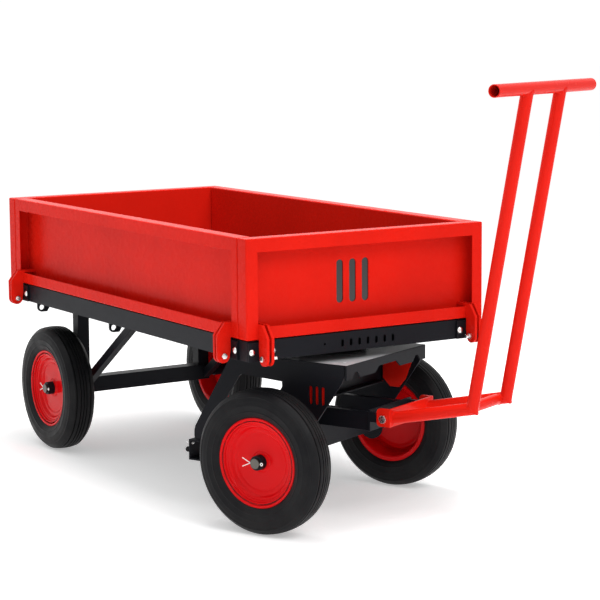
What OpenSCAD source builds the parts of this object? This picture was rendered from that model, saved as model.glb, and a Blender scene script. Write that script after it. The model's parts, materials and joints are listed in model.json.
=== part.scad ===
// Four-wheel turntable trailer with four drop-down side panels and a T-bar drawbar handle.
// Frame: +X forward (handle end), +Y the trailer's left, +Z up.
// Origin: centre of the load floor's top face. Lengths are in millimetres.

/* [Deck and panels] */
// Outside length over the closed panels
deck_l = 1527; // [1200:1:1900]
// Outside width over the closed panels
deck_w = 782; // [720:1:900]
// Height of the load floor above the ground
floor_z = 541; // [541:1:600]
// Depth of the perimeter frame channel
frame_h = 54; // [50:1:54]
// Width of the perimeter frame channel's flanges
frame_flange = 48; // [44:1:60]
// Distance from a panel's outer face in to the frame's face
frame_inset = 4; // [3:0.5:4]
// Height of each drop-down panel
panel_h = 272; // [200:1:320]
// Thickness of each drop-down panel tray
panel_t = 45; // [40:1:50]
// Sheet thickness of the panels
panel_sheet = 2.5; // [1.5:0.5:3]

/* [Wheels and axles] */
// Tyre outer diameter
tyre_d = 400; // [380:1:400]
// Tyre width
tyre_w = 98; // [90:1:98]
// Rim flange radius
rim_r = 124; // [120:1:126]
// Axle bar diameter
axle_d = 28; // [25:1:28]
// Rear axle's distance behind the deck's centre
rear_axle_x = 586; // [500:1:600]
// Distance from the centre line to a rear wheel's centre plane
rear_track_half = 313.6; // [313:0.1:330]
// Distance from the centre line to a front wheel's centre plane
front_track_half = 341; // [341:0.5:350]

/* [Turntable and drawbar] */
// Turntable centre's distance ahead of the deck's centre
king_x = 579.6; // [540:0.1:600]
// Steering angle of the front bogie as the trailer stands, to the left
rest_steer = 23.8; // [-30:0.1:30]
// Half width of the bogie over its side plates
bogie_half_w = 210; // [205:1:215]
// Drawbar pivot's distance ahead of the turntable centre
pivot_x = 241; // [232:1:246]
// Drawbar pivot's height above the ground
pivot_z = 302; // [300:1:304]

/* [Handle] */
// Handle tube outside diameter
tube_d = 34; // [30:1:36]
// Distance from the handle's centre plane to each side tube
tube_y = 94; // [80:1:94]
// Half length of the T-bar
t_bar_half = 274; // [200:1:300]
// T-bar's distance ahead of the turntable centre
t_bar_x = 662; // [640:1:680]
// T-bar's height above the ground
t_bar_z = 1206; // [1100:1:1260]

/* [Hidden] */
$fn = 64;
eps = 0.5;

RED = "#d3221c";
CHARCOAL = "#2f3035";
BLACK = "#1b1b1d";
ZINC = "#c9cbd0";
RUBBER = "#2b2b2c";

axle_z = tyre_d / 2;
axle_r = axle_d / 2;
fit_gap = 0.05;
body_gap = 0.4;

// Deck frame
frame_top = floor_z - 3;
frame_z = frame_top - frame_h;
frame_wall = 5;
frame_half_l = deck_l / 2 - frame_inset;
frame_half_w = deck_w / 2 - frame_inset;
inner_half_l = frame_half_l - frame_flange;
inner_half_w = frame_half_w - frame_flange;
cross_w = 40;
cross_wall = 4;
brace_top_x = -150;
cross_x = [-rear_axle_x, brace_top_x, 130, king_x - 130, king_x + 110];
floor_gap = 2;

// Panels: the rolled lips that frame the recess on each outer face
lip_top = 37;
lip_bottom = 34;
lip_front = 36;
lip_side = 33.5;
side_panel_l = deck_l - 2 * panel_t - 2 * floor_gap;
slot_pitch = 42;

// Panel hinges: u is outward from the panel's face, z is above the ground
hinge_front_v = 343.5;
hinge_side_v = 671.5;
hinge_pin_u = 24.5;
hinge_pin_z = floor_z - 48;
hinge_pin_r = 5;
hinge_eye_r = 19.5;
hinge_plate_t = 8;
hinge_plate_gap = 7;
lug_t = 6.4;
lug_r = 15;
bracket_w = 86;
bracket_h = 51;
bracket_t = 6;
bracket_face_u = bracket_t - frame_inset;
bracket_bolt_v = 32;
bracket_bolt_z = floor_z - 32;

// Rear undercarriage
leg_w = 40;
leg_out = 244;
rear_beam = 50;
brace_w = 25;
tube_wall = 4;

// Lashing eyes under the side rails
eye_x = [-566, -54];
eye_r = 14.5;
eye_y = frame_half_w - eye_r;
eye_z = floor_z - 69.5;
eye_hole_r = 9;
eye_t = 8;

// Turntable
bogie_top_z = floor_z - 83;
race_out = 95;
race_in = 60;
race_web = 15;
race_gap = 2;
race_flange = 4;
king_r = 10;
mount_plate_t = 6;

// Bogie
bogie_rear = -203;
bogie_front = 182;
bogie_sheet = 5;
side_t = 6;
apron_bottom = floor_z - 124;
rear_flange_bottom = floor_z - 111;
channel_x = -351;
channel_z = 137;
channel_h = 60;
channel_d = 40;
saddle_half = 28;
arm_y = 95;
arm_t = 20;
arm_z = 262;
arm_h = 50;
drawbar_plate_x = 188;
lug_half_w = 111;
pivot_r = 8;

// Handle
tube_r = tube_d / 2;
tube_bore = tube_r - 2.6;
elbow_x = 505;
elbow_z = 355;
yoke_half_w = 118;
yoke_t = 6;
yoke_plate_x = pivot_x + 15;
yoke_low = 280;
yoke_high = 331;
elbow = [elbow_x, elbow_z];
arm_start = [yoke_plate_x, pivot_z + 1];
arm_lean = atan2(elbow[1] - arm_start[1], elbow[0] - arm_start[0]);
upright_lean = atan2(t_bar_z - elbow[1], t_bar_x - elbow[0]);

// Wheels: a is the distance outward from the tyre's centre plane
hub_r = 20;
hub_bore = 17.5;
hub_in = -40;
hub_out = 36;
washer_t = 3;
axle_over = 46;
split_pin_r = 2;
rim_half = 38;
rim_seat = 35;

// ---------- placing ----------

// Heights inside are above the ground
module datum() {
    translate([0, 0, -floor_z])
        children();
}

// The bogie's own frame: turntable centre on the Z axis, +X along the drawbar
module at_bogie() {
    datum()
        translate([king_x, 0, 0])
            rotate([0, 0, rest_steer])
                children();
}

// A panel's own frame: x outward from its outer face, y along it
module at_face(turn) {
    reach = (turn % 180 == 0) ? deck_l / 2 : deck_w / 2;
    datum()
        rotate([0, 0, turn])
            translate([reach, 0, 0])
                children();
}

module mirror_y() {
    children();
    mirror([0, 1, 0])
        children();
}

// Both hinges of the panel at this face
module at_hinges(turn) {
    along = (turn % 180 == 0) ? hinge_front_v : hinge_side_v;
    at_face(turn)
        mirror_y()
            translate([0, along, 0])
                children();
}

module all_hinges() {
    for (turn = [0, 90, 180, 270])
        at_hinges(turn)
            children();
}

// ---------- common shapes ----------

module block(low, high) {
    translate(low)
        cube(high - low);
}

// Round bar along Y between two values of y
module bar_y(r, y0, y1) {
    translate([0, y0, 0])
        rotate([-90, 0, 0])
            cylinder(h = y1 - y0, r = r);
}

// Sheet of thickness t in the XZ plane, its low-y face at y = 0
module sheet_xz(t) {
    translate([0, t, 0])
        rotate([90, 0, 0])
            linear_extrude(t)
                children();
}

module slot_2d(w, h) {
    square([w, h - w], center = true);
    translate([0, (h - w) / 2])
        circle(d = w);
    translate([0, (w - h) / 2])
        circle(d = w);
}

module slot_row_2d(count, w, h, pitch) {
    for (i = [0 : count - 1])
        translate([(i - (count - 1) / 2) * pitch, 0])
            slot_2d(w, h);
}

// Low domed bolt head on the plane x = 0
module dome_head(r, h) {
    ball = (r * r + h * h) / (2 * h);
    rotate([0, 90, 0])
        intersection() {
            translate([0, 0, h - ball])
                sphere(r = ball);
            cylinder(h = h, r = r);
        }
}

module hex_z(r, z0, z1) {
    translate([0, 0, z0])
        cylinder(h = z1 - z0, r = r, $fn = 6);
}

// Hollow square tube from z = 0 up
module square_tube(wx, wy, h, wall) {
    difference() {
        translate([-wx / 2, -wy / 2, 0])
            cube([wx, wy, h]);
        translate([wall - wx / 2, wall - wy / 2, -eps])
            cube([wx - 2 * wall, wy - 2 * wall, h + 2 * eps]);
    }
}

// ---------- deck ----------

module deck_frame() {
    slot_w = 9;
    color(CHARCOAL)
        datum()
            difference() {
                block([-frame_half_l, -frame_half_w, frame_z],
                    [frame_half_l, frame_half_w, frame_top]);
                block([-inner_half_l, -inner_half_w, frame_z - eps],
                    [inner_half_l, inner_half_w, frame_top + eps]);
                block([frame_wall - frame_half_l, frame_wall - frame_half_w,
                    frame_z + frame_wall],
                    [frame_half_l - frame_wall, frame_half_w - frame_wall,
                    frame_top - frame_wall]);
                translate([frame_half_l, -142, frame_z + 26])
                    rotate([0, 90, 0])
                        cylinder(h = 4 * frame_wall, r = 3.5, center = true, $fn = 32);
                for (i = [-3 : 3])
                    translate([frame_half_l, i * 28, frame_z + 24])
                        rotate([0, 90, 0])
                            translate([0, 0, -3 * frame_wall])
                                rotate([0, 0, 90])
                                    linear_extrude(4 * frame_wall)
                                        slot_2d(slot_w, 20);
            }
}

module cross_members() {
    color(CHARCOAL)
        datum()
            for (x = cross_x)
                translate([x, inner_half_w, (frame_z + frame_top) / 2])
                    rotate([90, 0, 0])
                        square_tube(cross_w, frame_h, 2 * inner_half_w, cross_wall);
}

module floor_plate() {
    half_l = deck_l / 2 - panel_t - floor_gap;
    half_w = deck_w / 2 - panel_t - floor_gap;
    color(CHARCOAL)
        datum()
            block([-half_l, -half_w, frame_top], [half_l, half_w, floor_z]);
}

module hinge_brackets() {
    color(CHARCOAL)
        all_hinges()
            difference() {
                union() {
                    block([-frame_inset, -bracket_w / 2, frame_z],
                        [bracket_face_u, bracket_w / 2, frame_z + bracket_h]);
                    block([bracket_face_u - eps, -lug_t / 2, frame_z],
                        [hinge_pin_u, lug_t / 2, frame_z + 28]);
                    translate([hinge_pin_u, 0, hinge_pin_z])
                        bar_y(lug_r, -lug_t / 2, lug_t / 2);
                }
                translate([hinge_pin_u, 0, hinge_pin_z])
                    bar_y(hinge_pin_r, -lug_t, lug_t);
            }
}

module bracket_bolts() {
    color(ZINC)
        all_hinges()
            for (v = [-bracket_bolt_v, bracket_bolt_v])
                translate([bracket_face_u, v, bracket_bolt_z])
                    dome_head(9.5, 5.5);
}

module hinge_pins() {
    grip = hinge_plate_gap / 2 + hinge_plate_t + body_gap;
    color(ZINC)
        all_hinges()
            translate([hinge_pin_u, 0, hinge_pin_z])
                rotate([-90, 0, 0]) {
                    translate([0, 0, -grip - 18])
                        cylinder(h = 2 * grip + 20, r = hinge_pin_r);
                    hex_z(8.5, grip, grip + 6);
                    hex_z(8.5, -grip - 7, -grip);
                }
}

module lashing_eyes() {
    top = frame_z - eye_z;
    color(CHARCOAL)
        datum()
            mirror_y()
                for (x = eye_x)
                    translate([x - eye_t / 2, eye_y, eye_z])
                        rotate([90, 0, 90])
                            linear_extrude(eye_t)
                                intersection() {
                                    difference() {
                                        union() {
                                            circle(r = eye_r, $fn = 64);
                                            polygon([[0, 0], [0, -eye_r], [-18, -eye_r],
                                                [-31, top - 6], [-31, top], [eye_r, top],
                                                [eye_r, 0]]);
                                        }
                                        circle(r = eye_hole_r, $fn = 64);
                                    }
                                    translate([-40, -40])
                                        square([80, 40 + top]);
                                }
}

// Plate let in between the two cross members over the turntable
module turntable_mount_plate() {
    low_x = cross_x[3] + cross_w / 2;
    high_x = cross_x[4] - cross_w / 2;
    color(CHARCOAL)
        datum()
            difference() {
                block([low_x, -inner_half_w, frame_z],
                    [high_x, inner_half_w, frame_z + mount_plate_t]);
                translate([king_x, 0, frame_z - eps])
                    cylinder(h = mount_plate_t + 2 * eps, r = king_r);
            }
}

module upper_race() {
    top = frame_z;
    low = bogie_top_z + race_flange + race_gap;
    inner = race_out - race_web - race_gap;
    color(BLACK)
        datum()
            translate([king_x, 0, 0])
                rotate_extrude($fn = 96)
                    polygon([[race_in, top], [race_in, top - race_flange],
                        [inner, top - race_flange], [inner, low], [race_out, low],
                        [race_out, top]]);
}

module king_bolt() {
    nut_top = bogie_top_z - bogie_sheet - body_gap;
    color(ZINC)
        datum()
            translate([king_x, 0, 0]) {
                translate([0, 0, nut_top - 26])
                    cylinder(h = frame_z - nut_top + 34, r = king_r);
                hex_z(17, frame_z + mount_plate_t, frame_z + mount_plate_t + 12);
                hex_z(17, nut_top - 20, nut_top - 4);
                translate([0, 0, nut_top - 4])
                    cylinder(h = 4, r = 22);
            }
}

// ---------- rear undercarriage ----------

module rear_legs() {
    foot_z = axle_z + rear_beam / 2;
    color(CHARCOAL)
        datum()
            mirror_y()
                translate([-rear_axle_x, leg_out - leg_w / 2, foot_z])
                    square_tube(leg_w, leg_w, frame_z - foot_z, tube_wall);
}

// Square tube from the front of a leg up to a cross member
module rear_braces() {
    low = [-rear_axle_x + rear_beam / 2, axle_z - 4];
    high = [brace_top_x + 10, frame_z];
    lean = atan2(high[1] - low[1], high[0] - low[0]);
    color(CHARCOAL)
        datum()
            mirror_y()
                intersection() {
                    translate([low[0], leg_out - brace_w / 2, low[1]])
                        rotate([0, 90 - lean, 0])
                            translate([0, 0, -40])
                                square_tube(brace_w, brace_w, 640, 3);
                    block([low[0], 0, 0], [0, leg_out + eps, frame_z]);
                }
}

module rear_axle_beam() {
    plate = 5;
    color(CHARCOAL)
        datum()
            translate([-rear_axle_x, 0, axle_z])
                difference() {
                    block([-rear_beam / 2, -leg_out, -rear_beam / 2],
                        [rear_beam / 2, leg_out, rear_beam / 2]);
                    block([tube_wall - rear_beam / 2, plate - leg_out,
                        tube_wall - rear_beam / 2],
                        [rear_beam / 2 - tube_wall, leg_out - plate,
                        rear_beam / 2 - tube_wall]);
                    bar_y(axle_r, -leg_out - eps, leg_out + eps);
                }
}

// ---------- axles ----------

module axle_bar(track) {
    end = track + axle_over;
    difference() {
        bar_y(axle_r, -end, end);
        for (y = [-end + 4.5, end - 4.5])
            translate([-2 * axle_r, y, 0])
                rotate([0, 90, 0])
                    cylinder(h = 4 * axle_r, r = split_pin_r, $fn = 32);
    }
}

module axle_spacers(inner, track) {
    mirror_y()
        difference() {
            bar_y(axle_r + 4, inner, track + hub_in - body_gap);
            bar_y(axle_r, inner - eps, track);
        }
}

module axle_washers(track) {
    mirror_y()
        translate([0, track + hub_out + body_gap, 0])
            difference() {
                bar_y(hub_r, 0, washer_t);
                bar_y(axle_r, -eps, washer_t + eps);
            }
}

// Split pin along X through the axle's end, its legs splayed at the low-x side
module split_pin() {
    reach = axle_r + 3;
    translate([-reach, 0, 0])
        rotate([0, 90, 0])
            cylinder(h = 2 * reach, r = split_pin_r, $fn = 32);
    translate([reach + 2.5, 0, 0])
        rotate([90, 0, 0])
            rotate_extrude($fn = 32)
                translate([3.5, 0])
                    circle(r = 1.6, $fn = 16);
    for (tip = [-1, 1])
        translate([-reach + 0.6, 0, 0])
            rotate([0, -90 + tip * 24, 0])
                cylinder(h = 29, r = 1.4, $fn = 32);
    translate([-reach, 0, 0])
        sphere(r = split_pin_r, $fn = 32);
}

module split_pins(track) {
    y = track + axle_over - 4.5;
    for (side = [-1, 1])
        translate([0, side * y, 0])
            split_pin();
}

module rear_axle() {
    color(BLACK)
        datum()
            translate([-rear_axle_x, 0, axle_z])
                axle_bar(rear_track_half);
}

module rear_axle_spacers() {
    color(BLACK)
        datum()
            translate([-rear_axle_x, 0, axle_z])
                axle_spacers(leg_out, rear_track_half);
}

module rear_axle_washers() {
    color(BLACK)
        datum()
            translate([-rear_axle_x, 0, axle_z])
                axle_washers(rear_track_half);
}

module rear_split_pins() {
    color(ZINC)
        datum()
            translate([-rear_axle_x, 0, axle_z])
                split_pins(rear_track_half);
}

module front_axle() {
    color(BLACK)
        at_bogie()
            translate([0, 0, axle_z])
                axle_bar(front_track_half);
}

module front_axle_spacers() {
    color(BLACK)
        at_bogie()
            translate([0, 0, axle_z])
                axle_spacers(bogie_half_w, front_track_half);
}

module front_axle_washers() {
    color(BLACK)
        at_bogie()
            translate([0, 0, axle_z])
                axle_washers(front_track_half);
}

module front_split_pins() {
    color(ZINC)
        at_bogie()
            translate([0, 0, axle_z])
                split_pins(front_track_half);
}

// ---------- drop-down panels ----------

// Folded tray: inner skin, four flanges, and a lip all round the outer face
module tray(length, lip_end) {
    z0 = floor_z;
    z1 = floor_z + panel_h;
    half = length / 2;
    difference() {
        block([-panel_t, -half, z0], [0, half, z1]);
        block([-panel_t + panel_sheet, -half + panel_sheet, z0 + panel_sheet],
            [-panel_sheet, half - panel_sheet, z1 - panel_sheet]);
        block([-panel_t / 2, -half + lip_end, z0 + lip_bottom],
            [eps, half - lip_end, z1 - lip_top]);
    }
}

// Pairs of plates that carry a panel down to its hinge pins
module panel_hinges(turn) {
    lip_edge_z = floor_z + lip_bottom;
    knee_u = hinge_pin_u + hinge_eye_r;
    tongue_u = -panel_t + panel_sheet;
    outline = [
        [tongue_u, lip_edge_z],
        [tongue_u, lip_edge_z + 8],
        [19, lip_edge_z + 8],
        [knee_u, floor_z + 9],
        [knee_u, hinge_pin_z],
        [hinge_pin_u - hinge_eye_r, hinge_pin_z],
        [bracket_face_u + body_gap, hinge_pin_z + 17],
        [bracket_face_u + body_gap, floor_z],
        [0, floor_z],
        [0, lip_edge_z]];
    color(RED)
        at_hinges(turn)
            for (side = [-1, 1])
                translate([0, side * (hinge_plate_gap + hinge_plate_t) / 2, 0])
                    difference() {
                        translate([0, -hinge_plate_t / 2, 0])
                            sheet_xz(hinge_plate_t) {
                                polygon(outline);
                                translate([hinge_pin_u, hinge_pin_z])
                                    circle(r = hinge_eye_r);
                            }
                        translate([hinge_pin_u, 0, hinge_pin_z])
                            bar_y(hinge_pin_r + fit_gap, -hinge_plate_t, hinge_plate_t);
                    }
}

module front_panel() {
    color(RED)
        at_face(0)
            difference() {
                tray(deck_w, lip_front);
                translate([-panel_t - eps, -25, floor_z + 132])
                    rotate([90, 0, 90])
                        linear_extrude(panel_t / 2)
                            slot_row_2d(3, 22, 120, slot_pitch);
            }
}

module front_panel_hinges() {
    panel_hinges(0);
}

module front_backing_plate() {
    color(BLACK)
        at_face(0)
            block([-panel_t - 1.5, -105, floor_z + 60], [-panel_t, 55, floor_z + 204]);
}

module rear_panel() {
    color(RED)
        at_face(180)
            tray(deck_w, lip_front);
}

module rear_panel_hinges() {
    panel_hinges(180);
}

module right_panel() {
    color(RED)
        at_face(270)
            tray(side_panel_l, lip_side);
}

module right_panel_hinges() {
    panel_hinges(270);
}

module left_panel() {
    color(RED)
        at_face(90)
            tray(side_panel_l, lip_side);
}

module left_panel_hinges() {
    panel_hinges(90);
}

// ---------- front bogie ----------

// Notch in the apron's lower edge: half widths at its mouth and its top
module notch_2d(y, mouth, top) {
    low = apron_bottom - eps;
    high = apron_bottom + 17;
    polygon([[y - mouth, low], [y + mouth, low], [y + top, high], [y - top, high]]);
}

// Top plate with a notched apron folded down in front and a flange behind
module bogie_top_plate() {
    color(CHARCOAL)
        at_bogie()
            difference() {
                union() {
                    block([bogie_rear, -bogie_half_w, bogie_top_z - bogie_sheet],
                        [bogie_front, bogie_half_w, bogie_top_z]);
                    block([bogie_front - bogie_sheet, -bogie_half_w, apron_bottom],
                        [bogie_front, bogie_half_w, bogie_top_z]);
                    block([bogie_rear, side_t - bogie_half_w, rear_flange_bottom],
                        [bogie_rear + bogie_sheet, bogie_half_w - side_t, bogie_top_z]);
                }
                translate([bogie_front - 2 * bogie_sheet, 0, 0])
                    rotate([90, 0, 90])
                        linear_extrude(3 * bogie_sheet) {
                            notch_2d(-161, 22, 7);
                            notch_2d(161, 22, 7);
                            notch_2d(4, 68, 46);
                        }
                translate([0, 0, bogie_top_z - 2 * bogie_sheet])
                    cylinder(h = 3 * bogie_sheet, r = king_r + fit_gap);
            }
}

module lower_race() {
    low = bogie_top_z;
    top = frame_z - race_flange - race_gap;
    color(BLACK)
        at_bogie()
            rotate_extrude($fn = 96)
                polygon([[race_in, low], [race_out, low], [race_out, low + race_flange],
                    [race_in + race_web, low + race_flange], [race_in + race_web, top],
                    [race_in, top]]);
}

// Outline of a side plate: a web under the top plate, a leg sloping to the rear and a foot
module side_plate_2d() {
    top = bogie_top_z - bogie_sheet;
    foot_z = channel_z + channel_h;
    leg_x = channel_x + 15;
    difference() {
        union() {
            polygon([
                [bogie_rear, top],
                [bogie_front - bogie_sheet, top],
                [170, 414],
                [38, 227],
                [38, axle_z],
                [-38, axle_z],
                [-130, 182],
                [-262, foot_z],
                [leg_x, foot_z],
                [leg_x, 231]]);
            translate([0, axle_z])
                circle(r = 38);
        }
        polygon([[-172, 403], [-22, 394], [-110, 246], [-278, 246]]);
        translate([84, 366])
            slot_row_2d(3, 12, 52, 20);
        translate([0, axle_z])
            circle(r = axle_r);
    }
}

module bogie_side_right() {
    color(CHARCOAL)
        at_bogie()
            translate([0, -bogie_half_w, 0])
                sheet_xz(side_t)
                    side_plate_2d();
}

module bogie_side_left() {
    color(CHARCOAL)
        at_bogie()
            translate([0, bogie_half_w - side_t, 0])
                sheet_xz(side_t)
                    side_plate_2d();
}

module backing_2d() {
    polygon([[44, 402], [140, 402], [120, 352], [98, 326], [68, 326], [44, 350]]);
}

module bogie_backing_plates() {
    color(RED)
        at_bogie()
            for (y = [side_t - bogie_half_w, bogie_half_w - side_t - 3])
                translate([0, y, 0])
                    sheet_xz(3)
                        backing_2d();
}

// Two folded plates across the bogie, one each side of the king bolt
module bogie_diaphragms() {
    half = bogie_half_w - side_t;
    top = bogie_top_z - bogie_sheet;
    color(CHARCOAL)
        at_bogie()
            for (turn = [0, 180])
                rotate([0, 0, turn]) {
                    block([30, -half, 340], [35, half, top]);
                    block([35 - eps, 20 - half, 340], [60, half - 20, 345]);
                }
}

// Inverted channel over the front axle, between the side plates
module front_axle_saddle() {
    half = bogie_half_w - side_t;
    color(CHARCOAL)
        at_bogie()
            difference() {
                block([-saddle_half, -half, axle_z - 6], [saddle_half, half, arm_z]);
                block([5 - saddle_half, -half - eps, axle_z - 10],
                    [saddle_half - 5, half + eps, arm_z - 5]);
            }
}

module drawbar_arms() {
    color(CHARCOAL)
        at_bogie()
            mirror_y()
                translate([-saddle_half, arm_y, arm_z + arm_h / 2])
                    rotate([0, 90, 0])
                        square_tube(arm_h, arm_t, drawbar_plate_x + saddle_half, 4);
}

// Cross plate at the front of the arms, with a lug each side for the pivot bolts
module drawbar_bracket() {
    lug_in = lug_half_w - 12;
    lug_h = 14;
    plate_t = 6;
    color(CHARCOAL)
        at_bogie()
            difference() {
                union() {
                    block([drawbar_plate_x, -lug_half_w, arm_z],
                        [drawbar_plate_x + plate_t, lug_half_w, arm_z + 60]);
                    mirror_y() {
                        block([drawbar_plate_x + plate_t - eps, lug_in, pivot_z - lug_h],
                            [pivot_x, lug_half_w, pivot_z + lug_h]);
                        translate([pivot_x, 0, pivot_z])
                            bar_y(lug_h, lug_in, lug_half_w);
                    }
                }
                translate([pivot_x, 0, pivot_z])
                    bar_y(pivot_r, -lug_half_w - eps, lug_half_w + eps);
            }
}

module yoke_pivot_bolts() {
    head_y = yoke_half_w + body_gap;
    color(ZINC)
        at_bogie()
            mirror_y()
                translate([pivot_x, 0, pivot_z])
                    rotate([-90, 0, 0]) {
                        translate([0, 0, lug_half_w - 26])
                            cylinder(h = head_y + 30 - lug_half_w, r = pivot_r);
                        hex_z(12, head_y, head_y + 7);
                        hex_z(12, lug_half_w - 22, lug_half_w - 12);
                    }
}

// Channel across the two rear feet, open to the front
module rear_cross_channel() {
    half = bogie_half_w + 8;
    wall = 5;
    color(CHARCOAL)
        at_bogie()
            difference() {
                block([channel_x, -half, channel_z],
                    [channel_x + channel_d, half, channel_z + channel_h]);
                block([channel_x + wall, -half - eps, channel_z + wall],
                    [channel_x + channel_d + eps, half + eps, channel_z + channel_h - wall]);
            }
}

// A round rubber buffer on the back of the rear channel near each end
module channel_buffers() {
    color(RUBBER)
        at_bogie()
            mirror_y()
                translate([channel_x, bogie_half_w - 6, channel_z + 27])
                    rotate([0, -90, 0]) {
                        cylinder(h = 12, r = 5);
                        translate([0, 0, 12])
                            sphere(r = 8);
                    }
}

// A thin pin behind the channel and a bolt head inside it, near each end
module channel_bolts() {
    color(ZINC)
        at_bogie()
            mirror_y()
                translate([channel_x, bogie_half_w - 6, 0]) {
                    translate([0, 0, channel_z + 48])
                        rotate([0, -90, 0])
                            cylinder(h = 18, r = 1.5, $fn = 32);
                    translate([5, 0, channel_z + 47])
                        dome_head(5.5, 3.5);
                }
}

// ---------- handle ----------

module yoke() {
    bore = pivot_r + fit_gap;
    flange_in = lug_half_w + body_gap;
    corner = 12;
    color(RED)
        at_bogie()
            difference() {
                union() {
                    block([yoke_plate_x, -yoke_half_w, yoke_low],
                        [yoke_plate_x + yoke_t, yoke_half_w, yoke_high]);
                    mirror_y() {
                        block([pivot_x - 10, flange_in, yoke_low],
                            [yoke_plate_x + eps, yoke_half_w, yoke_high]);
                        block([pivot_x - 10 - corner, flange_in, yoke_low + corner],
                            [pivot_x - 10 + eps, yoke_half_w, yoke_high - corner]);
                        for (z = [yoke_low + corner, yoke_high - corner])
                            translate([pivot_x - 10, 0, z])
                                bar_y(corner, flange_in, yoke_half_w);
                    }
                }
                translate([pivot_x, 0, pivot_z])
                    bar_y(bore, -yoke_half_w - eps, yoke_half_w + eps);
            }
}

// Straight round bar in the XZ plane: from p, along the angle lean above +X
module bar_xz(p, lean, run, r) {
    translate([p[0], 0, p[1]])
        rotate([0, 90 - lean, 0])
            cylinder(h = run, r = r);
}

module lower_arm(r) {
    bar_xz(arm_start, arm_lean, norm(elbow - arm_start) + 30, r);
}

module upright(r) {
    start = elbow - 30 * [cos(upright_lean), sin(upright_lean)];
    bar_xz(start, upright_lean, norm([t_bar_x, t_bar_z] - start), r);
}

// Everything on one side of the elbows' mitre plane: side is 1 beyond it, -1 before it
module past_mitre(side) {
    translate([elbow_x, 0, elbow_z])
        rotate([0, -(arm_lean + upright_lean) / 2, 0])
            translate([side * 60, 0, 0])
                cube([120, 100, 200], center = true);
}

module handle_lower_arms() {
    color(RED)
        at_bogie()
            for (y = [-tube_y, tube_y])
                translate([0, y, 0])
                    difference() {
                        lower_arm(tube_r);
                        lower_arm(tube_bore);
                        past_mitre(1);
                        block([pivot_x - 40, -50, pivot_z - 60],
                            [yoke_plate_x + yoke_t, 50, pivot_z + 60]);
                    }
}

// Uprights from the mitred elbows, butted against the T-bar
module handle_uprights() {
    color(RED)
        at_bogie()
            for (y = [-tube_y, tube_y])
                translate([0, y, 0])
                    difference() {
                        upright(tube_r);
                        upright(tube_bore);
                        past_mitre(-1);
                        translate([t_bar_x, 0, t_bar_z])
                            bar_y(tube_r, -50, 50);
                    }
}

// Tube between the lower arms, just behind the elbows
module handle_cross_tube() {
    centre = elbow - 20 * [cos(arm_lean), sin(arm_lean)];
    r = tube_r - 2;
    color(RED)
        at_bogie()
            difference() {
                translate([centre[0], 0, centre[1]])
                    difference() {
                        bar_y(r, -tube_y, tube_y);
                        bar_y(r - 2.6, -tube_y - eps, tube_y + eps);
                    }
                for (y = [-tube_y, tube_y])
                    translate([0, y, 0])
                        lower_arm(tube_r);
            }
}

module t_bar() {
    color(RED)
        at_bogie()
            translate([t_bar_x, 0, t_bar_z])
                difference() {
                    bar_y(tube_r, -t_bar_half, t_bar_half);
                    bar_y(tube_bore, -t_bar_half - eps, t_bar_half + eps);
                }
}

// ---------- wheels ----------

// Turns a profile of [radius, outward distance] about the Y axis
module turned(side) {
    rotate([-90 * side, 0, 0])
        rotate_extrude($fn = 128)
            children();
}

module tyre_2d() {
    tread = tyre_d / 2;
    half = tyre_w / 2;
    bead = rim_r - 12;
    bulge = 150;
    wall = 11;
    difference() {
        polygon([
            [bead, -rim_seat], [rim_r, -rim_seat], [rim_r + 8, -half + 6],
            [bulge - 4, -half], [bulge + 18, -half], [tread - 14, -half + 6],
            [tread - 4, -half + 17], [tread, -half + 30],
            [tread, half - 30], [tread - 4, half - 17], [tread - 14, half - 6],
            [bulge + 18, half], [bulge - 4, half], [rim_r + 8, half - 6],
            [rim_r, rim_seat], [bead, rim_seat],
            [bead, rim_seat - wall], [bulge - 8, half - wall],
            [tread - 24, half - wall - 3], [tread - 15, half - wall - 16],
            [tread - 15, -half + wall + 16], [tread - 24, -half + wall + 3],
            [bulge - 8, -half + wall], [bead, wall - rim_seat]]);
        for (a = [-21, -7, 7, 21])
            translate([tread - 3.5, a - 1.5])
                square([6, 3]);
    }
}

module tyre_at(side) {
    color(RUBBER)
        turned(side)
            tyre_2d();
}

// Pressed disc wheel: a rolled flange each side, a stepped dish and the hub tube
module rim_2d() {
    polygon([
        [rim_r, rim_seat], [rim_r, rim_half], [117, rim_half], [109, 34], [108, 27],
        [98, 25], [92, 17], [hub_r, 19], [hub_r, hub_out], [hub_bore, hub_out],
        [hub_bore, hub_in], [hub_r, hub_in], [hub_r, 16], [93, 14], [100, 22], [109, 24],
        [109, -rim_half], [rim_r, -rim_half], [rim_r, -rim_seat], [112, -rim_seat],
        [112, rim_seat]]);
}

module rim_at(side) {
    color(RED)
        turned(side)
            rim_2d();
}

// Two bushes in the hub tube
module bushes_at(side) {
    color(BLACK)
        turned(side)
            for (a = [hub_in, hub_out - 18])
                translate([axle_r + fit_gap, a])
                    square([hub_bore - axle_r - fit_gap, 18]);
}

module at_front_wheel(side) {
    at_bogie()
        translate([0, side * front_track_half, axle_z])
            children();
}

module at_rear_wheel(side) {
    datum()
        translate([-rear_axle_x, side * rear_track_half, axle_z])
            children();
}

module front_right_tyre() {
    at_front_wheel(-1)
        tyre_at(-1);
}

module front_right_rim() {
    at_front_wheel(-1)
        rim_at(-1);
}

module front_left_tyre() {
    at_front_wheel(1)
        tyre_at(1);
}

module front_left_rim() {
    at_front_wheel(1)
        rim_at(1);
}

module rear_right_tyre() {
    at_rear_wheel(-1)
        tyre_at(-1);
}

module rear_right_rim() {
    at_rear_wheel(-1)
        rim_at(-1);
}

module rear_left_tyre() {
    at_rear_wheel(1)
        tyre_at(1);
}

module rear_left_rim() {
    at_rear_wheel(1)
        rim_at(1);
}

module front_right_bushes() {
    at_front_wheel(-1)
        bushes_at(-1);
}

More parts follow.
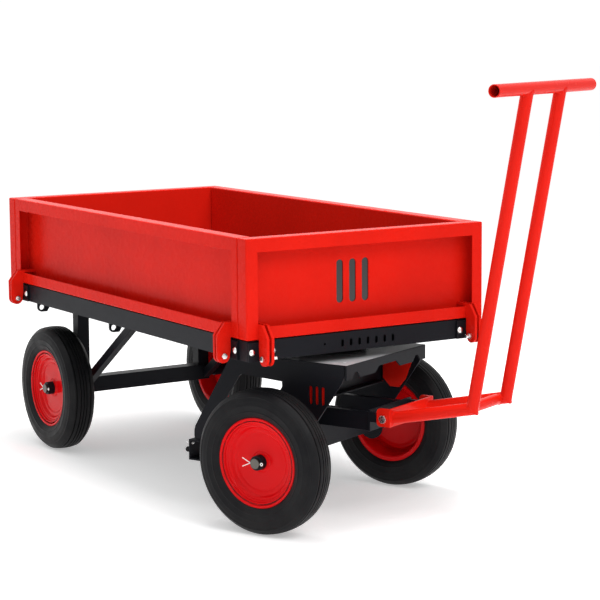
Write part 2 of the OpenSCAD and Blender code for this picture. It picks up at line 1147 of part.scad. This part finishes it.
module front_left_bushes() {
    at_front_wheel(1)
        bushes_at(1);
}

module rear_right_bushes() {
    at_rear_wheel(-1)
        bushes_at(-1);
}

module rear_left_bushes() {
    at_rear_wheel(1)
        bushes_at(1);
}

// ---------- the parts ----------

deck_frame();
cross_members();
floor_plate();
hinge_brackets();
bracket_bolts();
hinge_pins();
lashing_eyes();
turntable_mount_plate();
upper_race();
king_bolt();
rear_legs();
rear_braces();
rear_axle_beam();
rear_axle();
rear_axle_spacers();
rear_axle_washers();
rear_split_pins();
front_panel();
front_panel_hinges();
front_backing_plate();
rear_panel();
rear_panel_hinges();
right_panel();
right_panel_hinges();
left_panel();
left_panel_hinges();
bogie_top_plate();
lower_race();
bogie_side_right();
bogie_side_left();
bogie_backing_plates();
bogie_diaphragms();
front_axle_saddle();
front_axle();
front_axle_spacers();
front_axle_washers();
front_split_pins();
drawbar_arms();
drawbar_bracket();
rear_cross_channel();
channel_buffers();
channel_bolts();
yoke_pivot_bolts();
yoke();
handle_lower_arms();
handle_uprights();
handle_cross_tube();
t_bar();
front_right_tyre();
front_right_rim();
front_right_bushes();
front_left_tyre();
front_left_rim();
front_left_bushes();
rear_right_tyre();
rear_right_rim();
rear_right_bushes();
rear_left_tyre();
rear_left_rim();
rear_left_bushes();
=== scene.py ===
import json
import math

import bmesh
import bpy
from mathutils import Matrix, Vector, noise

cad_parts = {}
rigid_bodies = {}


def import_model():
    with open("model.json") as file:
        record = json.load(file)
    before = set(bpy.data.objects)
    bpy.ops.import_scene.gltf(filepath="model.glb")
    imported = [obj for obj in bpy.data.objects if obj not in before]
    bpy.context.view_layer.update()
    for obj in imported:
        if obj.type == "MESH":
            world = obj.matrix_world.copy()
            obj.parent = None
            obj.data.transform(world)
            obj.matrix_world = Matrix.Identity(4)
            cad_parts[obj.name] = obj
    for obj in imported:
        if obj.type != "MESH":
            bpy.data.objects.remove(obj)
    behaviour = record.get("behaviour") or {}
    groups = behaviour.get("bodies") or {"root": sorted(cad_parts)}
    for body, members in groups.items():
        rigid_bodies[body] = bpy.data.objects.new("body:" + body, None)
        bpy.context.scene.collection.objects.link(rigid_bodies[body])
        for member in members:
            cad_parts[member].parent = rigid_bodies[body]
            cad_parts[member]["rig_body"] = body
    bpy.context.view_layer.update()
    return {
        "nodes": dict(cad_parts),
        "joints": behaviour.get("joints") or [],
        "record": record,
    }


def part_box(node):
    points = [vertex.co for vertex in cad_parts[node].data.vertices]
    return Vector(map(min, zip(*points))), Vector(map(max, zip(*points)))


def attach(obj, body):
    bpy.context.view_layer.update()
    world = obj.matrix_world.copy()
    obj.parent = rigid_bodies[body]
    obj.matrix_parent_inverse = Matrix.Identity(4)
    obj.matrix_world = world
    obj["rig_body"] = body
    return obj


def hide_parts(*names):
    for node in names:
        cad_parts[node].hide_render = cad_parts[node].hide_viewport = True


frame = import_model()
NODES, JOINTS = frame["nodes"], {j["name"]: j for j in frame["joints"]}
SCENE = bpy.context.scene
BODY = {n: o["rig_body"] for n, o in NODES.items()}
SLOT = {s["node"]: s["material_slot"] for s in frame["record"]["subparts"]}
FLOOR_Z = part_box("rear_right_tyre")[0].z
KING = Vector(JOINTS["steer"]["pos_m"])
BOGIE_Y = Vector(JOINTS["handle_pitch"]["axis"]).normalized()
BOGIE_X = Vector((BOGIE_Y.y, -BOGIE_Y.x, 0))
UP = Vector((0, 0, 1))


def bogie(x, y, z):
    """A point in the bogie's own frame (mm, z above the ground) as a point in the row frame."""
    return (Vector((KING.x, KING.y, 0)) + BOGIE_X * (x / 1000) + BOGIE_Y * (y / 1000)
            + UP * (z / 1000 + FLOOR_Z))


# ---------- camera ----------

cam_data = bpy.data.cameras.new("camera")
cam_data.sensor_width = 36
cam_data.lens = 117.785
cam_data.shift_x = 0.0289
cam_data.shift_y = -0.0569
cam_data.clip_end = 100
cam = bpy.data.objects.new("camera", cam_data)
SCENE.collection.objects.link(cam)
CAM_RIGHT = Vector((0.5260997, 0.8503851, -0.008012))
CAM_BACK = Vector((0.8443335, -0.521184, 0.1243708))
CAM_UP = CAM_BACK.cross(CAM_RIGHT).normalized()
CAM_PLACE = (5.18397, -3.0058, 1.38596 + FLOOR_Z)
CAM_TURN = Matrix((CAM_RIGHT, CAM_UP, CAM_BACK)).transposed().to_4x4()
cam.matrix_world = Matrix.Translation(CAM_PLACE) @ CAM_TURN
SCENE.camera = cam

# ---------- materials ----------


class Nodes:
    """A small builder for one material's node tree."""

    def __init__(self, name):
        self.mat = bpy.data.materials.new(name)
        self.mat.use_nodes = True
        self.tree = self.mat.node_tree
        self.tree.nodes.clear()
        self.out = self.add("ShaderNodeOutputMaterial")
        self.bsdf = self.add("ShaderNodeBsdfPrincipled")
        self.link(self.bsdf.outputs[0], self.out.inputs[0])
        self.place = self.add("ShaderNodeTexCoord").outputs["Object"]

    def add(self, kind, **values):
        node = self.tree.nodes.new(kind)
        for key, value in values.items():
            setattr(node, key, value)
        return node

    def link(self, a, b):
        self.tree.links.new(a, b)

    def set(self, **values):
        for key, value in values.items():
            self.bsdf.inputs[key.replace("_", " ")].default_value = value

    def noise(self, scale, detail, rough=0.5):
        node = self.add("ShaderNodeTexNoise")
        node.inputs["Scale"].default_value = scale
        node.inputs["Detail"].default_value = detail
        node.inputs["Roughness"].default_value = rough
        self.link(self.place, node.inputs["Vector"])
        return node.outputs["Fac"]

    def remap(self, value, a, b, c, d):
        node = self.add("ShaderNodeMapRange")
        self.link(value, node.inputs["Value"])
        for key, v in zip(("From Min", "From Max", "To Min", "To Max"), (a, b, c, d)):
            node.inputs[key].default_value = v
        return node.outputs[0]

    def mix(self, factor, a, b):
        node = self.add("ShaderNodeMix", data_type="RGBA")
        self.link(factor, node.inputs["Factor"])
        for i, v in ((6, a), (7, b)):
            if isinstance(v, tuple):
                node.inputs[i].default_value = (*v[:3], 1)
            else:
                self.link(v, node.inputs[i])
        return node.outputs[2]

    def bump(self, height, strength, distance, base=None):
        node = self.add("ShaderNodeBump")
        node.inputs["Strength"].default_value = strength
        node.inputs["Distance"].default_value = distance
        self.link(height, node.inputs["Height"])
        if base is not None:
            self.link(base, node.inputs["Normal"])
        return node.outputs[0]


DUST = (0.11, 0.105, 0.097)


def shade(color, k):
    return tuple(min(1, c * k) for c in color)


def paint(name, color, rough, peel, specular, coat=0.0, wave=0.06):
    """Powder coat or paint: orange peel, slow drift of colour and uneven gloss."""
    n = Nodes(name)
    drift = n.remap(n.noise(3.1, 2), 0.3, 0.7, 0, 1)
    base = n.mix(drift, shade(color, 0.92), shade(color, 1.07))
    cloud = n.remap(n.noise(17, 3), 0.45, 0.8, 0, 0.2)
    base = n.mix(cloud, base, shade(color, 0.9))
    n.link(base, n.bsdf.inputs["Base Color"])
    gloss = n.remap(n.noise(38, 5, 0.6), 0.3, 0.7, rough - 0.03, rough + 0.04)
    n.link(gloss, n.bsdf.inputs["Roughness"])
    fine = n.bump(n.noise(420, 2.5), peel, 0.0004)
    n.link(n.bump(n.noise(11, 2), wave, 0.002, fine), n.bsdf.inputs["Normal"])
    n.set(Specular_IOR_Level=specular, Coat_Weight=coat, Coat_Roughness=0.08)
    return n.mat


def zinc(name, color, rough):
    """Zinc plate: crystal mottling, fine brush lines, slightly bluish and yellowish patches."""
    n = Nodes(name)
    cells = n.add("ShaderNodeTexVoronoi")
    cells.inputs["Scale"].default_value = 260
    n.link(n.place, cells.inputs["Vector"])
    patch = n.remap(n.noise(55, 4), 0.35, 0.65, 0, 1)
    base = n.mix(patch, shade(color, 0.86), (color[0] * 1.02, color[1] * 1.0, color[2] * 0.93))
    base = n.mix(n.remap(cells.outputs["Distance"], 0, 0.9, 0, 0.25), base, shade(color, 0.7))
    n.link(base, n.bsdf.inputs["Base Color"])
    n.link(n.remap(n.noise(210, 4), 0.3, 0.7, rough - 0.06, rough + 0.1), n.bsdf.inputs["Roughness"])
    n.link(n.bump(n.noise(800, 3), 0.12, 0.0003), n.bsdf.inputs["Normal"])
    n.set(Metallic=1.0)
    return n.mat


def rubber(name, color, rough, dust, grain=0.3):
    """Moulded rubber: fine grain, bloom and light dust."""
    n = Nodes(name)
    cloud = n.remap(n.noise(9, 5, 0.6), 0.38, 0.72, 0, dust)
    base = n.mix(cloud, color, DUST)
    fine = n.remap(n.noise(600, 3), 0.35, 0.65, 0, 0.35)
    base = n.mix(fine, base, shade(color, 0.6))
    n.link(base, n.bsdf.inputs["Base Color"])
    n.link(n.remap(n.noise(30, 4), 0.3, 0.7, rough - 0.06, rough + 0.08), n.bsdf.inputs["Roughness"])
    n.link(n.bump(n.noise(500, 3, 0.6), grain * 0.7, 0.0004), n.bsdf.inputs["Normal"])
    n.set(Specular_IOR_Level=0.11)
    return n.mat


RED = (0.70, 0.013, 0.006)
M = {
    "panel_red": paint("panel_red", RED, 0.27, peel=0.05, specular=0.04, wave=0.01),
    "handle_red": paint("handle_red", RED, 0.24, peel=0.03, specular=0.07, wave=0.01),
    "wheel_red": paint("wheel_red", (0.66, 0.004, 0.006), 0.14, peel=0.02, specular=0.07, coat=0.02,
                       wave=0.02),
    "frame_black": paint("frame_black", (0.0085, 0.009, 0.012), 0.36, peel=0.10, specular=0.08, wave=0.03),
    "floor_black": paint("floor_black", (0.014, 0.0145, 0.017), 0.42, peel=0.2, specular=0.12),
    "gloss_black": paint("gloss_black", (0.004, 0.004, 0.005), 0.09, peel=0.02, specular=0.5, coat=0.4,
                         wave=0.02),
    # Pale grey painted on the top faces of the black bogie sheet: a painted reflection of the bright backdrop
    "painted_reflection_top": paint("painted_reflection_top", (0.72, 0.73, 0.75), 0.24, peel=0.015, specular=0.6, wave=0.01),
    "zinc": zinc("zinc", (0.82, 0.83, 0.85), 0.24),
    "dark_steel": zinc("dark_steel", (0.12, 0.115, 0.11), 0.38),
    "tyre": rubber("tyre", (0.0055, 0.0055, 0.0068), 0.46, dust=0.10),
    "tread": rubber("tread", (0.070, 0.067, 0.063), 0.62, dust=0.28),
    "rubber": rubber("rubber", (0.008, 0.008, 0.009), 0.45, dust=0.1),
    "bush": rubber("bush", (0.006, 0.006, 0.007), 0.35, dust=0.05, grain=0.1),
}

# ---------- mesh tools ----------

WELD_DIST = 1e-5  # m: vertices this close are one
FLAT_ANGLE = 0.4  # degrees: faces this flat to each other are joined
EDGE_ANGLE, EDGE_SEGMENTS = 28, 2
SMOOTH_ANGLE = 40
TUBE_SIDES, TUBE_SPANS = 72, 6
BEAD_SIDES, BEAD_STEP, BEAD_RIPPLE = 8, 0.0009, 0.0034


def finish_piece(name, mesh, body, material, replaced=()):
    piece = bpy.data.objects.new(name, mesh)
    SCENE.collection.objects.link(piece)
    mesh.materials.clear()
    for m in material if isinstance(material, (list, tuple)) else [material]:
        mesh.materials.append(m)
    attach(piece, body)
    if replaced:
        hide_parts(*replaced)
    return piece


def smooth_by_angle(mesh, degrees):
    for p in mesh.polygons:
        p.use_smooth = True
    mesh.set_sharp_from_angle(angle=math.radians(degrees))


def ended(bm, name):
    """Frees a bmesh and returns it as a mesh."""
    mesh = bpy.data.meshes.new(name)
    bm.to_mesh(mesh)
    bm.free()
    return mesh


def clean_copy(node):
    """The node's mesh with welded vertices and flat faces joined again."""
    bm = bmesh.new()
    bm.from_mesh(NODES[node].data)
    bmesh.ops.remove_doubles(bm, verts=bm.verts, dist=WELD_DIST)
    bmesh.ops.dissolve_limit(bm, angle_limit=math.radians(FLAT_ANGLE), verts=bm.verts, edges=bm.edges)
    return bm


def round_edges(bm, chosen, radius, segments):
    edges = [e for e in bm.edges if len(e.link_faces) == 2 and chosen(e)]
    if edges:
        bmesh.ops.bevel(bm, geom=edges, offset=radius, segments=segments, profile=0.5,
                        affect="EDGES", clamp_overlap=True)


def soften(node, width, material=None, corner=None):
    """A copy of the node with real rounded edges, in metres, stands for it."""
    bm = clean_copy(node)
    if corner:
        corner(bm)
    mesh = ended(bm, node)
    piece = finish_piece("v_" + node, mesh, BODY[node], material or M[SLOT[node]], [node])
    bevel = piece.modifiers.new("bevel", "BEVEL")
    bevel.width = width
    bevel.segments = EDGE_SEGMENTS
    bevel.limit_method = "ANGLE"
    bevel.angle_limit = math.radians(EDGE_ANGLE)
    bevel.harden_normals = False
    bevel.use_clamp_overlap = True
    smooth_by_angle(mesh, SMOOTH_ANGLE)
    weighted = piece.modifiers.new("normals", "WEIGHTED_NORMAL")
    weighted.keep_sharp = False
    weighted.weight = 60
    return piece


def lathe(name, profile, centre, axis, body, materials, replaced, segments, smooth, pick=None):
    """Turns a closed profile of (radius, distance along axis), in mm, about axis through centre."""
    axis = Vector(axis).normalized()
    u = axis.orthogonal().normalized()
    v = axis.cross(u)
    bm = bmesh.new()
    rings = []
    for i in range(segments):
        t = 2 * math.pi * i / segments
        d = u * math.cos(t) + v * math.sin(t)
        rings.append([bm.verts.new(centre + d * (r / 1000) + axis * (a / 1000)) for r, a in profile])
    count = len(profile)
    for i in range(segments):
        a, b = rings[i], rings[(i + 1) % segments]
        for k in range(count):
            face = bm.faces.new((a[k], a[(k + 1) % count], b[(k + 1) % count], b[k]))
            if pick:
                face.material_index = pick(profile[k], profile[(k + 1) % count])
    bmesh.ops.recalc_face_normals(bm, faces=bm.faces)
    mesh = ended(bm, name)
    smooth_by_angle(mesh, smooth)
    return finish_piece(name, mesh, body, materials, replaced)


def rounded(points, radius, steps):
    """Closed outline with its corners rounded. A point may carry its own radius as a third number."""
    out = []
    count = len(points)
    for i in range(count):
        p = Vector(points[i][:2])
        a = Vector(points[i - 1][:2]) - p
        b = Vector(points[(i + 1) % count][:2]) - p
        r = points[i][2] if len(points[i]) > 2 else radius
        if a.length < 1e-6 or b.length < 1e-6 or r <= 0:
            out.append(tuple(p))
            continue
        turn = a.angle(b)
        if turn > math.radians(174):
            out.append(tuple(p))
            continue
        cut = min(r / math.tan(turn / 2), 0.46 * a.length, 0.46 * b.length)
        start, end = p + a.normalized() * cut, p + b.normalized() * cut
        for k in range(steps + 1):
            t = k / steps
            q = start.lerp(p, t).lerp(p.lerp(end, t), t)
            out.append(tuple(q))
    return out


def around(count):
    """Angles evenly round a circle."""
    return [2 * math.pi * k / count for k in range(count)]


def weld(name, points, radius, body, slot_name, seed):
    """A weld bead round a closed path: overlapping ripples of uneven width."""
    pts = [Vector(p) for p in points]
    pts.append(pts[0])
    lengths = [(pts[i + 1] - pts[i]).length for i in range(len(pts) - 1)]
    total = sum(lengths)
    steps = max(12, int(total / BEAD_STEP))
    path = []
    for k in range(steps):
        s = total * k / steps
        i = 0
        while i < len(lengths) - 1 and s > lengths[i]:
            s -= lengths[i]
            i += 1
        path.append(pts[i].lerp(pts[i + 1], s / max(lengths[i], 1e-9)))
    bm = bmesh.new()
    rings = []
    for k, p in enumerate(path):
        t = (path[(k + 1) % steps] - path[k - 1]).normalized()
        ref = UP if abs(t.z) < 0.9 else Vector((1, 0, 0))
        a = ref.cross(t).normalized()
        b = t.cross(a)
        s = total * k / steps
        wave = (1 + 0.16 * abs(math.sin(math.pi * s / BEAD_RIPPLE))
                + 0.10 * noise.noise(p * 160 + Vector((seed, 0, 0))))
        rings.append([bm.verts.new(p + (a * math.cos(q) + b * math.sin(q)) * radius * wave)
                      for q in around(BEAD_SIDES)])
    for k in range(steps):
        a, b = rings[k], rings[(k + 1) % steps]
        for j in range(BEAD_SIDES):
            bm.faces.new((a[j], a[(j + 1) % BEAD_SIDES], b[(j + 1) % BEAD_SIDES], b[j]))
    bmesh.ops.recalc_face_normals(bm, faces=bm.faces)
    mesh = ended(bm, name)
    for p in mesh.polygons:
        p.use_smooth = True
    return finish_piece(name, mesh, body, M[slot_name])


def circle(centre, axis, radius, count):
    axis = axis.normalized()
    u = axis.orthogonal().normalized()
    v = axis.cross(u)
    return [centre + (u * math.cos(t) + v * math.sin(t)) * radius for t in around(count)]


def pipes(node, starts, direction, side, radii, ends):
    """Straight tubes from each start, standing for the node.

    ends(angle, radius) gives the two ends in mm of the line along the tube at that angle,
    which is measured from side, towards direction x side.
    """
    d, u = direction.normalized(), side.normalized()
    v = d.cross(u)
    bm = bmesh.new()
    for start in starts:
        rings = []
        for radius in radii:
            for k in range(TUBE_SPANS + 1):
                ring = []
                for t in around(TUBE_SIDES):
                    low, high = ends(t, radius)
                    s = low + (high - low) * (k if radius == radii[0] else TUBE_SPANS - k) / TUBE_SPANS
                    spot = ((u * math.cos(t) + v * math.sin(t)) * radius + d * s) / 1000
                    ring.append(bm.verts.new(start + spot))
                rings.append(ring)
        for k, a in enumerate(rings):
            b = rings[(k + 1) % len(rings)]
            for i in range(TUBE_SIDES):
                bm.faces.new((a[i], a[(i + 1) % TUBE_SIDES], b[(i + 1) % TUBE_SIDES], b[i]))
    bmesh.ops.recalc_face_normals(bm, faces=bm.faces)
    mesh = ended(bm, node)
    smooth_by_angle(mesh, SMOOTH_ANGLE)
    return finish_piece("v_" + node, mesh, BODY[node], M[SLOT[node]], [node])


# ---------- wheels ----------

# Closed outlines of (radius, distance out along the axle, corner radius if it has its own), in mm
TYRE = rounded(
    [(112, -35), (123, -35), (127, -39), (131, -42.5), (139, -46.2), (140.5, -47.6), (142.5, -47.6),
     (144, -46.9), (156, -48.6), (157.5, -49), (160, -49), (161.5, -48.4), (172, -47.0), (180, -44.2),
     (181.5, -44.6), (184, -43.6), (185.5, -42.0), (190, -38.0), (194.5, -32.5), (197, -29),
     (197.2, -25.5), (193.6, -25), (193.6, -22.4), (198.4, -21.8), (199.5, -13), (199.5, -11.6),
     (195, -11.2), (195, -8.6), (199.8, -8.2), (200, -1.7), (195.2, -1.4), (195.2, 1.4), (200, 1.7),
     (199.8, 8.2), (195, 8.6), (195, 11.2), (199.5, 11.6), (199.5, 13), (198.4, 21.8), (193.6, 22.4),
     (193.6, 25), (197.2, 25.5), (197, 29), (194.5, 32.5), (190, 38.0), (185.5, 42.0), (184, 43.6),
     (181.5, 44.6), (180, 44.2), (172, 47.0), (161.5, 48.4), (160, 49), (157.5, 49), (156, 48.6),
     (144, 46.9), (142.5, 47.6), (140.5, 47.6), (139, 46.2), (131, 42.5), (127, 39), (123, 35),
     (112, 35), (112, 24), (142, 38), (176, 34), (184, 20), (184, -20), (176, -34), (142, -38),
     (112, -24)], 0.7, 3)
RIM = rounded(
    [(124, 35, 0.5), (124, 36.8, 1.2), (122, 38, 1.2), (117.5, 37.6, 1.6), (115.6, 34.5, 2.2),
     (109.4, 33.4, 2), (108.2, 27.5, 2.5), (104.5, 26.6, 1.2), (103, 24.2, 1.2), (97.8, 23.4, 2),
     (92.2, 16.4, 3), (84, 15.8, 3), (79, 13.2, 3), (30, 13.6, 3), (25.6, 16.6, 2.5), (20.4, 16.8, 0),
     (20.4, 11.2, 0), (80, 10.6, 3), (86, 12.8, 3), (93, 13.2, 3), (99, 20.6, 2), (105, 24, 2),
     (109, 24.4, 2), (109, -34, 3), (112.5, -37.6, 2), (121.5, -38, 1.4), (124, -36.6, 1.4),
     (124, -35, 0.5), (112, -35, 0.5), (112, 35, 0.5)], 1, 4)
HUB = rounded([(17.6, -40), (20.4, -40, 0.8), (20.4, 36, 1.0), (17.6, 36, 0.6)], 0.4, 3)
TREAD_R = 189  # mm: what lies outside this radius is tread
DISC_FACE = 0.0168  # m: the disc's outer face at the hub


def tread_or_wall(a, b):
    return 1 if min(a[0], b[0]) > TREAD_R else 0


for which in ("front_right", "front_left", "rear_right", "rear_left"):
    joint = JOINTS["spin_" + which]
    centre = Vector(joint["pos_m"])
    out = Vector(joint["axis"]) * (-1 if "right" in which else 1)
    body = which + "_wheel"
    lathe("tyre_" + which, TYRE, centre, out, body, [M["tyre"], M["tread"]],
          [which + "_tyre"], 180, 28, tread_or_wall)
    lathe("rim_" + which, RIM, centre, out, body, [M["wheel_red"]], [which + "_rim"], 144, 40)
    lathe("hub_" + which, HUB, centre, out, body, [M["frame_black"]], (), 64, 40)
    weld("hub_weld_" + which, circle(centre + out * DISC_FACE, out, 0.0214, 40), 0.0016, body,
         "wheel_red", seed=3)

# ---------- panels, deck and undercarriage ----------


def panel_corners(bm):
    """Rolled outer edges of a folded tray."""
    lim = [(min(v.co[k] for v in bm.verts), max(v.co[k] for v in bm.verts)) for k in range(3)]

    def outer(edge):
        hits = 0
        for axis in range(3):
            for end in lim[axis]:
                if all(abs(v.co[axis] - end) < 1e-5 for v in edge.verts):
                    hits += 1
        return hits >= 2

    round_edges(bm, outer, 0.004, 4)


for name in ("front_panel", "rear_panel", "right_panel", "left_panel"):
    soften(name, 0.0011, corner=panel_corners)


def plate_corners(radius, low, high):
    """Rounds a cut plate's outline: the edges through its thickness, from low to high long."""
    def run(bm):
        def chosen(e):
            d = e.verts[1].co - e.verts[0].co
            if not low < d.length < high:
                return False
            a, b = e.link_faces
            return a.normal.angle(b.normal) > math.radians(22) and abs(d.normalized().z) < 0.05
        round_edges(bm, chosen, radius, 4)
    return run


for name in ("front_panel_hinges", "rear_panel_hinges", "right_panel_hinges", "left_panel_hinges"):
    soften(name, 0.0008, corner=plate_corners(0.004, 0.0075, 0.0085))
for name in ("hinge_brackets", "deck_frame", "cross_members", "floor_plate", "turntable_mount_plate",
             "rear_legs", "rear_braces", "rear_axle_beam", "front_axle_saddle", "drawbar_arms",
             "drawbar_bracket", "bogie_diaphragms", "rear_cross_channel", "yoke", "lashing_eyes"):
    soften(name, 0.0012)
for name in ("bracket_bolts", "hinge_pins", "yoke_pivot_bolts", "king_bolt", "upper_race", "lower_race",
             "rear_axle", "front_axle", "rear_axle_washers", "front_axle_washers", "channel_bolts",
             "front_backing_plate", "bogie_backing_plates", "rear_axle_spacers", "front_axle_spacers",
             "channel_buffers"):
    soften(name, 0.0006)


def bogie_fold(bm):
    """The sheet's bend over the long edges and the front of the top plate."""
    top = max(v.co.z for v in bm.verts)

    def chosen(e):
        return all(abs(v.co.z - top) < 1e-5 for v in e.verts) and (e.verts[1].co - e.verts[0].co).length > 0.1
    round_edges(bm, chosen, 0.0048, 5)


def window_corners(bm):
    """Rounded corners of the side plates' windows: edges through the 6 mm sheet."""
    def chosen(e):
        d = e.verts[1].co - e.verts[0].co
        if not 0.0055 < d.length < 0.0065 or abs(d.normalized().dot(BOGIE_Y)) < 0.99:
            return False
        a, b = e.link_faces
        return math.radians(25) < a.normal.angle(b.normal) < math.radians(150)
    round_edges(bm, chosen, 0.011, 5)


# The black bogie sheet's upward top faces get the pale grey: a painted reflection, lighter on top because of
# how light falls
sheet = soften("bogie_top_plate", 0.0010, [M["frame_black"], M["painted_reflection_top"]], bogie_fold)
sheet_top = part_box("bogie_top_plate")[1].z
for face in sheet.data.polygons:
    face.material_index = 1 if face.normal.z > 0.99 and face.center.z > sheet_top - 1e-4 else 0
for name in ("bogie_side_right", "bogie_side_left"):
    soften(name, 0.0010, corner=window_corners)

# Handle tubes: mitred elbows, saddles at the T-bar and the cross tube (mm in the bogie's frame)
TUBE_R, BORE, TUBE_Y = 17, 14.4, 94
CROSS_R, CROSS_WALL, CROSS_BACK = 15, 2.6, 20
YOKE_X, YOKE_WELD_Z = 262, 304.2
ARM, ELBOW, TOP = (256, 303), (505, 355), (662, 1206)
arm_lean = math.atan2(ELBOW[1] - ARM[1], ELBOW[0] - ARM[0])
up_lean = math.atan2(TOP[1] - ELBOW[1], TOP[0] - ELBOW[0])
mid, half_turn = (arm_lean + up_lean) / 2, (up_lean - arm_lean) / 2
arm_run, up_run = math.dist(ARM, ELBOW), math.dist(ELBOW, TOP)
cross = (ELBOW[0] - CROSS_BACK * math.cos(arm_lean), ELBOW[1] - CROSS_BACK * math.sin(arm_lean))


def lean_axis(lean):
    return bogie(math.cos(lean), 0, math.sin(lean)) - bogie(0, 0, 0)


def arm_ends(t, r):
    """Flat on the yoke's plate, mitred at the elbow."""
    off = r * math.sin(t)
    low = (YOKE_X - ARM[0] + off * math.sin(arm_lean)) / math.cos(arm_lean)
    return low, arm_run - off * math.tan(half_turn)


def upright_ends(t, r):
    """Mitred at the elbow, saddle-cut on the T-bar."""
    off = r * math.sin(t)
    return off * math.tan(half_turn), up_run - math.sqrt(TUBE_R ** 2 - off ** 2)


def cross_ends(t, r):
    """Saddle-cut on both arms."""
    reach = TUBE_Y - math.sqrt(TUBE_R ** 2 - (r * math.sin(t)) ** 2)
    return -reach, reach


pipes("handle_lower_arms", [bogie(ARM[0], y, ARM[1]) for y in (-TUBE_Y, TUBE_Y)],
      lean_axis(arm_lean), BOGIE_Y, (TUBE_R, BORE), arm_ends)
pipes("handle_uprights", [bogie(ELBOW[0], y, ELBOW[1]) for y in (-TUBE_Y, TUBE_Y)],
      lean_axis(up_lean), BOGIE_Y, (TUBE_R, BORE), upright_ends)
pipes("handle_cross_tube", [bogie(cross[0], 0, cross[1])],
      BOGIE_Y, lean_axis(arm_lean), (CROSS_R, CROSS_R - CROSS_WALL), cross_ends)

# What stays as it is in the CAD gets its material
for name, node in NODES.items():
    if not node.hide_render:
        node.data.materials.clear()
        node.data.materials.append(M[SLOT[name]])
        smooth_by_angle(node.data, 30)

# ---------- welds ----------


def square_path(centre, half):
    return [centre + Vector((sx * half, sy * half, 0)) for sx, sy in ((1, 1), (-1, 1), (-1, -1), (1, -1))]


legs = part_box("rear_legs")
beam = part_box("rear_axle_beam")
leg_half = (legs[1].x - legs[0].x) / 2
leg_x = (legs[1].x + legs[0].x) / 2
for side, tag in ((-1, "right"), (1, "left")):
    y = side * (legs[1].y - leg_half)
    for level, z in (("low", beam[1].z), ("top", legs[1].z)):
        weld("leg_weld_" + level + "_" + tag, square_path(Vector((leg_x, y, z)), leg_half), 0.0026,
             "chassis", "frame_black", seed=side)


def leaned(spot, lean, run, y, off):
    """From spot in the bogie's middle plane: run along a tube that leans so, off square to it, y sideways."""
    return bogie(spot[0] + math.cos(lean) * run - math.sin(lean) * off, y,
                 spot[1] + math.sin(lean) * run + math.cos(lean) * off)


for side, tag in ((-1, "right"), (1, "left")):
    tube_y = side * TUBE_Y
    long_r = TUBE_R / math.cos(half_turn)
    path = [leaned(ELBOW, mid, 0, tube_y + TUBE_R * math.cos(t), long_r * math.sin(t)) for t in around(56)]
    weld("elbow_weld_" + tag, path, 0.0013, "handle", "handle_red", seed=7 + side)
    path = [leaned(TOP, up_lean, -TUBE_R * abs(math.cos(t)), tube_y + TUBE_R * math.cos(t),
                   TUBE_R * math.sin(t)) for t in around(48)]
    weld("t_bar_weld_" + tag, path, 0.0021, "handle", "handle_red", seed=11 + side)
    path = [leaned(cross, arm_lean, CROSS_R * math.cos(t),
                   side * (TUBE_Y - math.sqrt(TUBE_R ** 2 - (CROSS_R * math.sin(t)) ** 2)),
                   CROSS_R * math.sin(t)) for t in around(40)]
    weld("cross_weld_" + tag, path, 0.0020, "handle", "handle_red", seed=15 + side)
    path = [bogie(YOKE_X, tube_y + TUBE_R * math.cos(t), YOKE_WELD_Z + TUBE_R * math.sin(t))
            for t in around(40)]
    weld("yoke_weld_" + tag, path, 0.0022, "handle", "handle_red", seed=19 + side)

# ---------- floor and light ----------

FLOOR_HALF = 40
floor_mesh = bpy.data.meshes.new("floor")
CORNERS = ((-1, -1), (1, -1), (1, 1), (-1, 1))
floor_mesh.from_pydata([(x * FLOOR_HALF, y * FLOOR_HALF, FLOOR_Z) for x, y in CORNERS], [], [(0, 1, 2, 3)])
floor = bpy.data.objects.new("floor", floor_mesh)
SCENE.collection.objects.link(floor)
ground = Nodes("floor")
white = ground.mix(ground.noise(0.8, 3), (0.91, 0.91, 0.91), (0.93, 0.93, 0.93))
ground.link(white, ground.bsdf.inputs["Base Color"])
ground.set(Roughness=0.85, Specular_IOR_Level=0.0, Emission_Color=(1, 1, 1, 1), Emission_Strength=0.38)
floor_mesh.materials.append(ground.mat)

# A white backdrop: the camera and reflections see the bright level, and diffuse light the dimmer one
BACKDROP_SEEN, BACKDROP_LIGHT = 1.03, 0.46
world = bpy.data.worlds.new("world")
world.use_nodes = True
tree = world.node_tree
backdrop = tree.nodes["Background"]
backdrop.inputs[0].default_value = (1, 1, 1, 1)
level = tree.nodes.new("ShaderNodeMapRange")
level.inputs["To Min"].default_value = BACKDROP_SEEN
level.inputs["To Max"].default_value = BACKDROP_LIGHT
tree.links.new(tree.nodes.new("ShaderNodeLightPath").outputs["Is Diffuse Ray"], level.inputs["Value"])
tree.links.new(level.outputs[0], backdrop.inputs[1])
SCENE.world = world


def area(name, place, aim, size, power):
    data = bpy.data.lights.new(name, "AREA")
    data.shape = "RECTANGLE"
    data.size, data.size_y = size
    data.energy = power
    lamp = bpy.data.objects.new(name, data)
    SCENE.collection.objects.link(lamp)
    lamp.location = place
    lamp.rotation_euler = (Vector(aim) - Vector(place)).to_track_quat("-Z", "Y").to_euler()


sky = bpy.data.lights.new("sky", "SUN")
sky.energy = 0.72
sky.angle = math.radians(75)
sky_lamp = bpy.data.objects.new("sky", sky)
SCENE.collection.objects.link(sky_lamp)
sky_lamp.rotation_euler = (math.radians(6), math.radians(8), 0)
area("key", (4.2, 0.6, 3.4), (0.3, 0, 0), (2.6, 2.2), 88)
area("side", (0.6, -4.6, 2.6), (0, 0, 0), (3.2, 2.0), 2)
area("top", (0.1, 0.1, 2.9), (0, 0, 0), (1.8, 1.1), 80)
SCENE.view_settings.view_transform = "Standard"
SCENE.view_settings.look = "None"
SCENE.view_settings.exposure = 0.0
